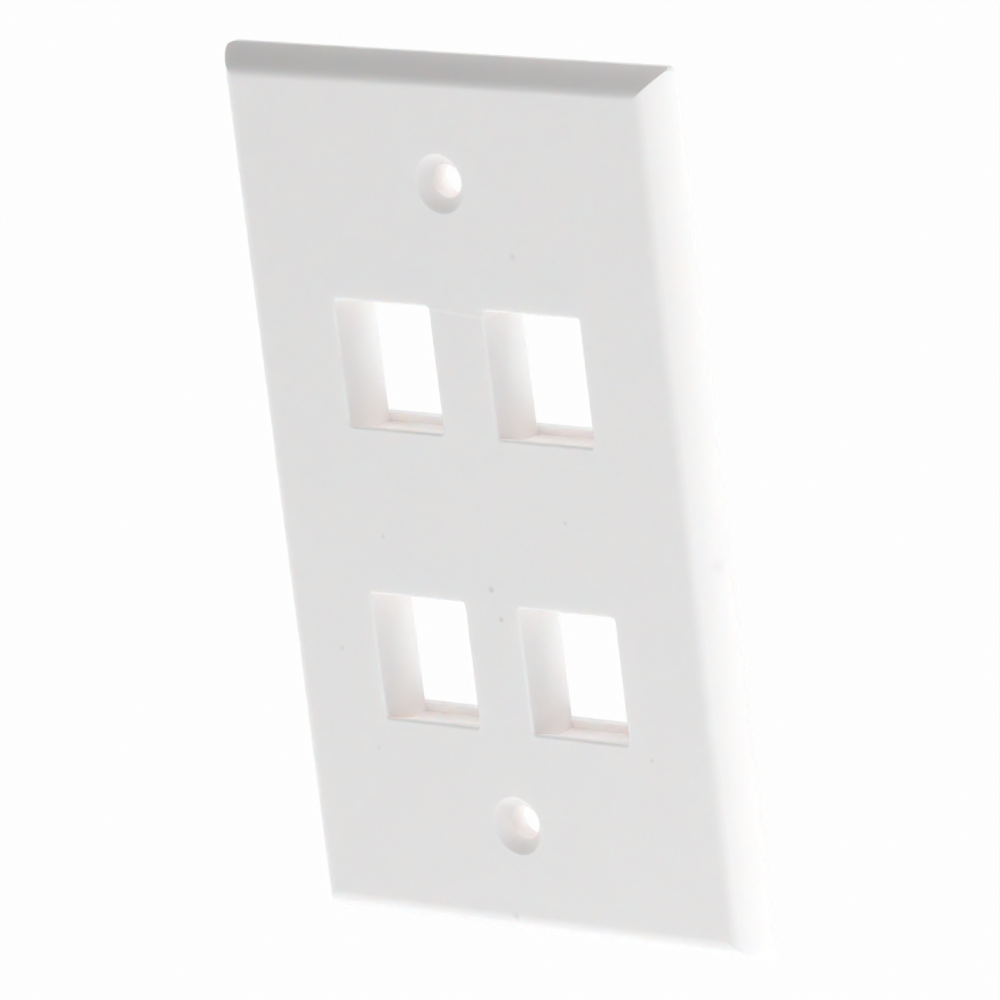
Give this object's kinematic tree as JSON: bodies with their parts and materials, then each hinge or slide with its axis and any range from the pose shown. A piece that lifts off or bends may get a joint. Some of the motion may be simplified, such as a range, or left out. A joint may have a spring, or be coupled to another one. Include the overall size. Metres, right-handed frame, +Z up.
{
  "type": "keystone faceplate",
  "caption": "White moulded single-gang wall plate with a sloping rim, countersunk screw holes and square ports with latch collars behind, to hold snap-in jacks.",
  "frame": {"origin": "middle of the plate, in the plane of the wall that the rim's back edge lies on", "axes": "+X to the right and +Z up as seen from the front; the face looks along -Y and the collars reach into the wall along +Y"},
  "size_m": [0.0698, 0.0095, 0.1142],
  "materials": {
    "white_plastic": "gloss, faintly uneven, with a few specks of dirt"
  },
  "bodies": {
    "root": {"faceplate": "white_plastic"}
  },
  "joints": []
}
